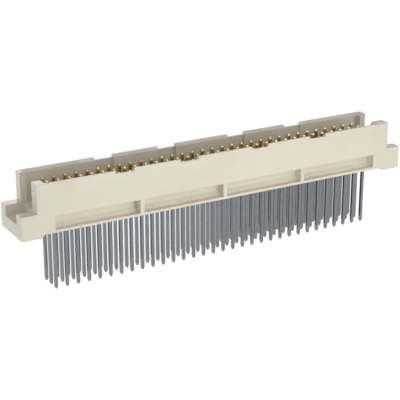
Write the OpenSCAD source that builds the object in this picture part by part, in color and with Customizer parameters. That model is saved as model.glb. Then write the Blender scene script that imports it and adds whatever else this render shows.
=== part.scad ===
// Backplane connector: a straight shrouded pin connector with three rows of contacts.
// X runs along the rows, Y across them and Z is the mating direction.
// The origin is the middle of the contact field, on the circuit board's surface.

/* [Contact field] */
// Number of contact columns along the connector
columns = 32; // [24:1:48]
// Number of contact rows across the connector
rows = 3; // [2:1:4]
// Spacing of the columns
pitch = 2.54; // [2.3:0.01:3]
// Spacing of the rows
row_pitch = 2.54; // [2.3:0.01:3]

/* [Contacts] */
// Side of the square contact wire
wire_w = 0.64; // [0.5:0.01:0.8]
// Length of the wiring post below the board's surface
post_len = 13; // [3:0.1:20]
// Length of the rounded-off end of the post
post_taper_len = 0.65; // [0.3:0.05:1.5]
// Side of the blunt point on the post's end
post_point_w = 0.3; // [0.1:0.01:0.4]
// Height of the mating pin above the shroud's floor
pin_len = 5; // [3:0.1:6]
// Length of the rounded-off end of the pin
pin_taper_len = 0.5; // [0.2:0.05:1]
// Side of the blunt point on the pin's end
pin_point_w = 0.3; // [0.1:0.01:0.4]
// Width of the retention shoulder, along the row
shoulder_w = 1.1; // [0.9:0.05:1.5]
// Height of the retention shoulder
shoulder_h = 2.2; // [1:0.1:2.6]
// Depth of the shoulder's stop below the shroud's floor
shoulder_depth = 1.6; // [1:0.1:2]
// Room on each side of a contact in its hole
contact_clearance = 0.02; // [0.01:0.01:0.05]

/* [Shroud] */
// Height of the shroud's floor above the board
floor_z = 5; // [4.5:0.1:6]
// Depth of the shroud above its floor
cavity_depth = 6.5; // [5.5:0.1:9]
// Thickness of the long walls
wall_t = 1; // [0.8:0.05:1.5]
// Thickness of the end walls
end_wall_t = 1.45; // [1:0.05:2]
// Room between the outer rows' centre lines and the long walls
side_margin = 1.96; // [1.5:0.01:3]
// Room between the outer columns' centre lines and the end walls
end_margin = 3.13; // [3:0.01:4]
// Width of the open slot in each end wall
end_slot_w = 5.9; // [4:0.1:7]
// Width of the lead-in along the inner top edges
lead_in_w = 0.6; // [0.3:0.05:0.7]
// Height of the lead-in along the inner top edges
lead_in_h = 0.5; // [0.4:0.05:1]
// How far the end walls behind the slots stand back from the slots' side
slot_setback = 0.35; // [0.1:0.05:0.6]
// How far the left polarising block stands into the cavity
key_reach_left = 1.1; // [0.8:0.01:1.8]
// How far the right polarising block stands into the cavity
key_reach_right = 1.72; // [0.8:0.01:1.8]
// Radius of the lead-in on a polarising block
key_round = 0.8; // [0.4:0.05:1]

/* [Wall notches] */
// Distance of the inner notches from the middle, in columns
notch_inner = 3.5; // [2:0.5:5]
// Distance of the outer notches from the middle, in columns
notch_outer = 9.5; // [8:0.5:10]
// Width of a notch
notch_w = 4.3; // [3:0.1:5]
// Depth of a notch in the wall's top edge
notch_depth = 0.65; // [0.3:0.05:1.5]
// Depth of the coding groove that runs down the wall from a notch
notch_groove = 0.6; // [0.2:0.05:0.6]

/* [Side pockets] */
// Number of pockets along each long side
pocket_count = 4; // [2:1:6]
// Reach of the pockets past the outer columns' centre lines
pocket_over = 0.78; // [0:0.01:1.5]
// Height of a pocket
pocket_h = 3; // [2:0.1:3.3]
// Share of a pocket's depth or height, whichever is less, that the bevel between its back and floor takes
pocket_bevel_share = 0.38; // [0.1:0.02:0.9]
// Thickness of the rail below the pockets
rail_t = 0.56; // [0.4:0.02:0.8]
// Thickness of the ribs between the pockets
rib_t = 0.9; // [0.6:0.05:1.5]
// Plastic left between a pocket and the nearest contact
web_t = 0.44; // [0.3:0.02:0.8]

/* [Fixing flanges] */
// Reach of each flange past the shroud
flange_reach = 3.55; // [3:0.05:6]
// Height of the flanges above the board
flange_h = 5.2; // [4:0.1:5.8]
// Thickness of the floor under each screw head
flange_floor_t = 2.9; // [2:0.1:3.5]
// Length of each screw head's groove
groove_len = 4; // [3.5:0.1:4.5]
// Clearance of the shroud's underside above the board
standoff = 0.64; // [0.3:0.02:1]
// Width of the chamfer on the inner edge of each flange's foot
foot_chamfer = 0.6; // [0.2:0.05:0.8]
// Radius of the fixing holes
fixing_r = 1.4; // [1:0.05:1.45]
// Distance of the fixing holes from the flange's end
fixing_inset = 2.5; // [2:0.05:2.5]

/* [Hidden] */
$fn = 48;
// Overlap of a cut past the face that it opens
eps = 0.1;

col_half = (columns - 1) * pitch / 2;
row_half = (rows - 1) * row_pitch / 2;

cavity_half_l = col_half + end_margin;
cavity_half_w = row_half + side_margin;
shroud_half_l = cavity_half_l + end_wall_t;
body_half_w = cavity_half_w + wall_t;
flange_half_l = shroud_half_l + flange_reach;
shroud_top = floor_z + cavity_depth;

pocket_half_l = col_half + pocket_over;
pocket_w = (2 * pocket_half_l - (pocket_count - 1) * rib_t) / pocket_count;
pocket_face_y = row_half + wire_w / 2 + web_t;
pocket_bevel = pocket_bevel_share * min(body_half_w - pocket_face_y, pocket_h);

pin_top = floor_z + pin_len;
shoulder_top = floor_z - shoulder_depth;
// Place of a wire end's middle edge, as shares of its narrowing and its length
belly_w = 0.65;
belly_h = 0.43;
notch_xs = [for (side = [-1, 1], place = [notch_inner, notch_outer]) side * place * pitch];

function column_x(i) = (i - 1) * pitch - col_half;
function row_y(j) = (j - 1) * row_pitch - row_half;
function column_name(i) = str("contact_column_", i < 10 ? "0" : "", i);

// Box given by its two opposite corners
module span(low, high) {
    translate(low) cube(high - low);
}

// Prism with an outline in X and Z, from y0 to y1
module prism_along_y(outline, y0, y1) {
    translate([0, y1, 0]) rotate([90, 0, 0]) linear_extrude(height = y1 - y0) polygon(outline);
}

// Prism with an outline in Y and Z, from x0 to x1
module prism_along_x(outline, x0, x1) {
    translate([x0, 0, 0]) rotate([90, 0, 90]) linear_extrude(height = x1 - x0) polygon(outline);
}

// The same feature on both long sides, or at both ends
module both_sides() {
    children();
    mirror([0, 1, 0]) children();
}

module both_ends() {
    children();
    mirror([1, 0, 0]) children();
}

function reversed(list) = [for (k = [len(list) - 1 : -1 : 0]) list[k]];

// Symmetric outline through points of half width and height, from the bottom up
function mirrored(half) = concat(half, reversed([for (p = half) [-p[0], p[1]]]));

// Half outline of a rounded-off wire end from z0 to z1, with its blunt point at z0
function wire_end(point_w, z0, z1) = [
    [point_w / 2, z0],
    [(point_w + belly_w * (wire_w - point_w)) / 2, z0 + belly_h * (z1 - z0)],
    [wire_w / 2, z1]
];

// One contact: wiring post, retention shoulder and mating pin of square wire
module contact() {
    bottom = wire_end(post_point_w, -post_len, post_taper_len - post_len);
    shoulder = [
        [wire_w / 2, shoulder_top - shoulder_h],
        [shoulder_w / 2, shoulder_top - shoulder_h],
        [shoulder_w / 2, shoulder_top],
        [wire_w / 2, shoulder_top]
    ];
    top = reversed(wire_end(pin_point_w, pin_top, pin_top - pin_taper_len));
    intersection() {
        prism_along_y(mirrored(concat(bottom, shoulder, top)), -wire_w / 2, wire_w / 2);
        prism_along_x(mirrored(concat(bottom, top)), -shoulder_w / 2, shoulder_w / 2);
    }
}

// Stepped hole for one contact, open to the underside
module contact_hole() {
    hole_half = wire_w / 2 + contact_clearance;
    slot_half = shoulder_w / 2 + contact_clearance;
    span([-hole_half, -hole_half, 0], [hole_half, hole_half, floor_z + eps]);
    span([-slot_half, -hole_half, 0], [slot_half, hole_half, shoulder_top]);
}

// Inside of the shroud with a mitred lead-in round its mouth
module cavity() {
    mouth_z = shroud_top - lead_in_h;
    flare = lead_in_w * (lead_in_h + eps) / lead_in_h;
    lip = [[0, floor_z], [0, mouth_z], [flare, shroud_top + eps]];
    intersection() {
        prism_along_x(mirrored([for (p = lip) [cavity_half_w + p[0], p[1]]]), -flange_half_l, flange_half_l);
        prism_along_y(mirrored([for (p = lip) [cavity_half_l + p[0], p[1]]]), -body_half_w, body_half_w);
    }
}

// Solid corner at the right-hand end, on one long side only, so that the plug goes in one way round
module key_block(reach) {
    face_x = cavity_half_l - reach;
    slot_y = -end_slot_w / 2;
    span([face_x, -body_half_w, floor_z], [shroud_half_l, slot_y, shroud_top - key_round]);
    span([face_x + key_round, -body_half_w, floor_z], [shroud_half_l, slot_y, shroud_top]);
    translate([face_x + key_round, slot_y, shroud_top - key_round]) rotate([90, 0, 0])
        cylinder(r = key_round, h = body_half_w + slot_y);
}

// Notch in a wall's top edge with the coding groove below it
module wall_notch() {
    span([-notch_w / 2, cavity_half_w - eps, shroud_top - notch_depth],
         [notch_w / 2, body_half_w + eps, shroud_top + eps]);
    span([-notch_w / 2, cavity_half_w - eps, floor_z],
         [notch_w / 2, cavity_half_w + notch_groove, shroud_top + eps]);
}

// Row of core-out pockets in a long side
module side_pockets() {
    pocket_z = standoff + rail_t;
    outline = [
        [pocket_face_y, pocket_z + pocket_bevel],
        [pocket_face_y + pocket_bevel, pocket_z],
        [body_half_w + eps, pocket_z],
        [body_half_w + eps, pocket_z + pocket_h],
        [pocket_face_y, pocket_z + pocket_h]
    ];
    for (k = [0 : pocket_count - 1]) {
        x0 = k * (pocket_w + rib_t) - pocket_half_l;
        prism_along_x(outline, x0, x0 + pocket_w);
    }
}

// Fixing flange with its foot on the board, at the right-hand end
module flange() {
    outline = [
        [cavity_half_l, flange_h],
        [cavity_half_l, standoff],
        [cavity_half_l + foot_chamfer, 0],
        [flange_half_l, 0],
        [flange_half_l, flange_h]
    ];
    prism_along_y(outline, -body_half_w, body_half_w);
}

// Slot through the end wall, the screw head's groove and the fixing hole
module flange_cuts() {
    end_x = flange_half_l + eps;
    slot_half = end_slot_w / 2;
    span([cavity_half_l - eps, -slot_half, floor_z], [end_x, slot_half, shroud_top + eps]);
    span([cavity_half_l - eps, 0, max(floor_z, flange_h)], [end_x, slot_half + slot_setback, shroud_top + eps]);
    span([flange_half_l - groove_len, -slot_half, flange_floor_t], [end_x, slot_half, shroud_top]);
    translate([flange_half_l - fixing_inset, 0, -eps]) cylinder(r = fixing_r, h = flange_floor_t + 2 * eps);
}

module housing() {
    color("Wheat") difference() {
        union() {
            difference() {
                span([-shroud_half_l, -body_half_w, standoff], [shroud_half_l, body_half_w, shroud_top]);
                cavity();
            }
            key_block(key_reach_right);
            mirror([1, 0, 0]) key_block(key_reach_left);
            both_ends() flange();
        }
        both_ends() flange_cuts();
        both_sides() side_pockets();
        both_sides() for (x = notch_xs) translate([x, 0, 0]) wall_notch();
        for (i = [1 : columns], j = [1 : rows]) translate([column_x(i), row_y(j), 0]) contact_hole();
    }
}

// The contacts of one column, one in each row
module contact_column(i) {
    color("Silver") for (j = [1 : rows]) translate([column_x(i), row_y(j), 0]) contact();
}

housing();
for (i = [1 : columns]) contact_column(i);
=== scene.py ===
import bpy
from mathutils import Matrix, Vector


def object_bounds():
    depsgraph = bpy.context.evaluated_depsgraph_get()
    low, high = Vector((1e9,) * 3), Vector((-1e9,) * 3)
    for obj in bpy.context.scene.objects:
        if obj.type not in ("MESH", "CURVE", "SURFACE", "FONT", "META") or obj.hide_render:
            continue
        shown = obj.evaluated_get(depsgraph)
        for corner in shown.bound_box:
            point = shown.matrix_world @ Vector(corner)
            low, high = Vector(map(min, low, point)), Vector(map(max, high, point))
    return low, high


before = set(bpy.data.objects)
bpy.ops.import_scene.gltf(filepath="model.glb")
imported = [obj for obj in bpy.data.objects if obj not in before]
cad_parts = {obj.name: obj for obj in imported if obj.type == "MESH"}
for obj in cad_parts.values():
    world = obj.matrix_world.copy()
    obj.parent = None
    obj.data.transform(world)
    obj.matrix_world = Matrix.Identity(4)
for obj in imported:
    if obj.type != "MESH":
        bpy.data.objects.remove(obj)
cad_low, cad_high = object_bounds()

MM = 0.001
scene = bpy.context.scene

# Surface colours, sRGB in 0..255
MOULDING_DARK, MOULDING_LIGHT = (223, 215, 197), (229, 222, 205)
MOULDING_SPECK = (206, 197, 178)
TIN_DARK, TIN_LIGHT = (125, 127, 131), (131, 133, 137)
TIN_SCRATCH = (104, 106, 110)
GOLD_DARK, GOLD_LIGHT = (206, 184, 134), (217, 196, 146)

# Noise scales, in features per metre
FLOW_SCALE = 90.0
SPECK_SCALE = 2600.0
GRAIN_SCALE = 5200.0
CLOUD_SCALE = 700.0
DRAWN_SCALE = (6000.0, 6000.0, 260.0)
HAZE_SCALE = 6.0

# Heights between which the tin of the posts gives way to the gold of the pins
GOLD_FROM, GOLD_FULL = 3.4 * MM, 3.9 * MM
GOLD_WANDER = 0.4 * MM

EDGE_RADIUS = 0.09 * MM
GRAIN_HEIGHT = 0.00002
SCRATCH_HEIGHT = 0.00001

FLOOR_HALF = 3.0
FLOOR_GLOW = 0.90

# Lamp colours, linear
COOL = (0.99, 1.0, 1.06)
WARM = (1.0, 1.0, 0.9)
TIP_COOL = (0.9, 1.0, 1.4)

# World light from behind the part and from in front of it
ROOM_BACK, ROOM_FRONT = 0.305, 0.69

# What the lamps are aimed at
PART_MIDDLE = (0, 0, 0)
RIGHT_PINS = (0.03, 0, 0.01)
STRAIGHT_UP = (0, 0, 1)
TABLE_MIDDLE = (0, 0, cad_low[2] + 0.2 * MM)

# Name, position, target, width and height in metres, power in watts, colour, seen in the metal
LAMPS = (
    ("table_panel", TABLE_MIDDLE, STRAIGHT_UP, (0.7, 0.7), 0.24, COOL, False),
    ("key_softbox", (0.015, -0.15, 0.007), PART_MIDDLE, (0.04, 0.02), 0.062, WARM, True),
    ("left_softbox", (-0.78, 0.45, 0.06), PART_MIDDLE, (0.3, 0.3), 2.13, WARM, True),
    ("back_softbox", (0.30, 0.88, 0.33), PART_MIDDLE, (0.25, 0.3), 0.50, WARM, True),
    ("fill_softbox", (0.55, -0.70, 0.46), PART_MIDDLE, (0.22, 0.16), 0.30, WARM, False),
    ("tip_softbox", (0.221, -0.252, 0.171), RIGHT_PINS, (0.081, 0.056), 0.0358, TIP_COOL, True),
)

# Camera fitted to the post tips in the photograph
CAMERA_PLACE = (-130.42 * MM, -222.07 * MM, 93.08 * MM)
CAMERA_TARGET = (-0.70 * MM, 4.42 * MM, -2.63 * MM)
CAMERA_ROLL = -0.0009
CAMERA_LENS = 110.87
CAMERA_SENSOR = 36.0
CAMERA_CLIP = (0.01, 20.0)


def linear(r, g, b):
    """Linear colour of an sRGB colour in 0..255."""
    def one(c):
        c /= 255.0
        return c / 12.92 if c <= 0.04045 else ((c + 0.055) / 1.055) ** 2.4
    return (one(r), one(g), one(b), 1.0)


def grey(level):
    """Linear grey with full alpha."""
    return (level, level, level, 1.0)


class Nodes:
    """Small helper round the node tree of a new material or world."""

    def __init__(self, name, kind="materials"):
        self.owner = getattr(bpy.data, kind).new(name)
        self.owner.use_nodes = True
        self.tree = self.owner.node_tree
        self.tree.nodes.clear()

    def fill(self, socket, value):
        """Links the input socket to another node's output, or sets it to a plain value."""
        if isinstance(value, bpy.types.NodeSocket):
            self.tree.links.new(value, socket)
        else:
            socket.default_value = value

    def add(self, kind, inputs=None, **settings):
        node = self.tree.nodes.new(kind)
        for key, value in settings.items():
            setattr(node, key, value)
        for key, value in (inputs or {}).items():
            self.fill(node.inputs[key], value)
        return node

    def object_coords(self):
        return self.add("ShaderNodeTexCoord").outputs["Object"]

    def noise(self, vector, scale, detail=2.0, roughness=0.5):
        inputs = {"Vector": vector, "Scale": scale, "Detail": detail, "Roughness": roughness}
        return self.add("ShaderNodeTexNoise", inputs).outputs["Fac"]

    def ramp(self, value, low, high, to_low, to_high, smooth=False):
        inputs = {"Value": value, "From Min": low, "From Max": high,
                  "To Min": to_low, "To Max": to_high}
        node = self.add("ShaderNodeMapRange", inputs)
        if smooth:
            node.interpolation_type = "SMOOTHSTEP"
        return node.outputs["Result"]

    def spread(self, noise, to_low=0.0, to_high=1.0):
        """Maps the range that most values of a noise lie in."""
        return self.ramp(noise, 0.3, 0.7, to_low, to_high)

    def math(self, operation, a, b):
        return self.add("ShaderNodeMath", {0: a, 1: b}, operation=operation).outputs[0]

    def mix(self, factor, a, b):
        inputs = {0: factor, 6: a, 7: b}
        return self.add("ShaderNodeMix", inputs, data_type="RGBA").outputs[2]

    def seen(self):
        """1 for the rays that show the backdrop: camera, glossy and transmission rays."""
        path = self.add("ShaderNodeLightPath").outputs
        mirrored = self.math("MAXIMUM", path["Is Glossy Ray"], path["Is Transmission Ray"])
        return self.math("MAXIMUM", path["Is Camera Ray"], mirrored)

    def output(self, shader, kind="ShaderNodeOutputMaterial"):
        self.add(kind, {"Surface": shader})
        return self.owner


def moulding_material():
    """Cream moulded thermoplastic: faint mottling, satin gloss and a fine spark-eroded grain."""
    n = Nodes("cream_moulding")
    coords = n.object_coords()
    flow = n.noise(coords, FLOW_SCALE, 3.0, 0.55)
    speck = n.noise(coords, SPECK_SCALE, 2.0, 0.6)
    grain = n.noise(coords, GRAIN_SCALE, 3.0, 0.6)
    colour = n.mix(n.spread(flow), linear(*MOULDING_DARK), linear(*MOULDING_LIGHT))
    colour = n.mix(n.ramp(speck, 0.55, 0.8, 0.0, 0.14), colour, linear(*MOULDING_SPECK))
    rough = n.math("ADD", n.spread(flow, 0.27, 0.33), n.spread(speck, -0.02, 0.02))
    edge = n.add("ShaderNodeBevel", {"Radius": EDGE_RADIUS}, samples=4).outputs["Normal"]
    bump = n.add("ShaderNodeBump", {"Height": grain, "Strength": 0.03, "Distance": GRAIN_HEIGHT,
                                    "Normal": edge})
    shader = n.add("ShaderNodeBsdfPrincipled", {"Base Color": colour, "Roughness": rough,
                                                "Specular IOR Level": 0.5,
                                                "Normal": bump.outputs["Normal"]})
    return n.output(shader.outputs["BSDF"])


def contact_material():
    """Square wire: dull tin on the posts below the floor, satin gold on the mating pins above."""
    n = Nodes("plated_contact")
    coords = n.object_coords()
    height = n.add("ShaderNodeSeparateXYZ", {"Vector": coords}).outputs["Z"]
    cloud = n.noise(coords, CLOUD_SCALE)
    drawn = n.add("ShaderNodeMapping", {"Vector": coords, "Scale": DRAWN_SCALE}).outputs["Vector"]
    scratch = n.noise(drawn, 1.0)
    wavy_height = n.math("ADD", height, n.math("MULTIPLY", cloud, GOLD_WANDER))
    gold_share = n.ramp(wavy_height, GOLD_FROM, GOLD_FULL, 0.0, 1.0)
    tin = n.mix(n.spread(cloud), linear(*TIN_DARK), linear(*TIN_LIGHT))
    tin = n.mix(n.ramp(scratch, 0.5, 0.75, 0.0, 0.12), tin, linear(*TIN_SCRATCH))
    gold = n.mix(n.spread(cloud), linear(*GOLD_DARK), linear(*GOLD_LIGHT))
    colour = n.mix(gold_share, tin, gold)
    plain_rough = n.ramp(gold_share, 0.0, 1.0, 0.14, 0.26)
    rough = n.math("ADD", plain_rough, n.spread(scratch, -0.03, 0.03))
    bump = n.add("ShaderNodeBump", {"Height": scratch, "Strength": 0.04,
                                    "Distance": SCRATCH_HEIGHT})
    shader = n.add("ShaderNodeBsdfPrincipled", {"Base Color": colour, "Metallic": 1.0,
                                                "Roughness": rough,
                                                "Normal": bump.outputs["Normal"]})
    return n.output(shader.outputs["BSDF"])


def floor_material():
    """Pale floor, white to the rays that show the backdrop, that takes the object's shadow."""
    n = Nodes("studio_floor")
    haze = n.noise(n.object_coords(), HAZE_SCALE)
    colour = n.mix(n.spread(haze), grey(0.86), grey(0.88))
    paper = n.add("ShaderNodeBsdfDiffuse", {"Color": colour}).outputs["BSDF"]
    thin = n.add("ShaderNodeBsdfDiffuse", {"Color": grey(0.30)}).outputs["BSDF"]
    glow = n.add("ShaderNodeEmission", {"Color": grey(1.0), "Strength": FLOOR_GLOW})
    lit = n.add("ShaderNodeAddShader", {0: thin, 1: glow.outputs["Emission"]}).outputs[0]
    return n.output(n.add("ShaderNodeMixShader", {0: n.seen(), 1: paper, 2: lit}).outputs[0])


def studio_world():
    """White backdrop for the rays that show it; a softer light, more from the front, for others."""
    n = Nodes("studio", "worlds")
    toward = n.add("ShaderNodeTexCoord").outputs["Generated"]
    depth = n.add("ShaderNodeSeparateXYZ", {"Vector": toward}).outputs["Y"]
    level = n.ramp(depth, 0.2, -0.8, ROOM_BACK, ROOM_FRONT, smooth=True)
    room = n.add("ShaderNodeBackground", {"Color": COOL + (1.0,), "Strength": level}).outputs[0]
    backdrop = n.add("ShaderNodeBackground", {"Color": grey(1.0), "Strength": 1.0}).outputs[0]
    both = n.add("ShaderNodeMixShader", {0: n.seen(), 1: room, 2: backdrop}).outputs[0]
    return n.output(both, "ShaderNodeOutputWorld")


def aim(obj, position, target, roll=0.0):
    """Puts obj at position, looking at target with +Z up, rolled about the line of sight."""
    forward = (Vector(target) - Vector(position)).normalized()
    turn = forward.to_track_quat("-Z", "Y").to_matrix() @ Matrix.Rotation(roll, 3, "Z")
    obj.matrix_world = Matrix.Translation(position) @ turn.to_4x4()


def softbox(name, position, target, size, power, colour, mirrored):
    """Rectangular lamp; one that isn't mirrored lights the object without showing in its metal."""
    lamp = bpy.data.lights.new(name, "AREA")
    lamp.shape = "RECTANGLE"
    lamp.size, lamp.size_y = size
    lamp.energy = power
    lamp.color = colour
    obj = bpy.data.objects.new(name, lamp)
    obj.visible_glossy = mirrored
    obj.visible_camera = False
    scene.collection.objects.link(obj)
    aim(obj, position, target)


moulding = moulding_material()
plating = contact_material()
for name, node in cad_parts.items():
    node.data.materials.clear()
    node.data.materials.append(moulding if name == "housing" else plating)

floor_mesh = bpy.data.meshes.new("floor")
floor_mesh.from_pydata([(-FLOOR_HALF, -FLOOR_HALF, 0), (FLOOR_HALF, -FLOOR_HALF, 0),
                        (FLOOR_HALF, FLOOR_HALF, 0), (-FLOOR_HALF, FLOOR_HALF, 0)],
                       [], [(0, 1, 2, 3)])
floor = bpy.data.objects.new("floor", floor_mesh)
floor.location = (0, 0, cad_low[2])
floor_mesh.materials.append(floor_material())
scene.collection.objects.link(floor)

scene.world = studio_world()
for lamp_row in LAMPS:
    softbox(*lamp_row)

camera_data = bpy.data.cameras.new("camera")
camera_data.sensor_fit = "HORIZONTAL"
camera_data.sensor_width = CAMERA_SENSOR
camera_data.lens = CAMERA_LENS
camera_data.clip_start, camera_data.clip_end = CAMERA_CLIP
camera = bpy.data.objects.new("camera", camera_data)
scene.collection.objects.link(camera)
aim(camera, CAMERA_PLACE, CAMERA_TARGET, CAMERA_ROLL)
scene.camera = camera

scene.view_settings.view_transform = "Standard"
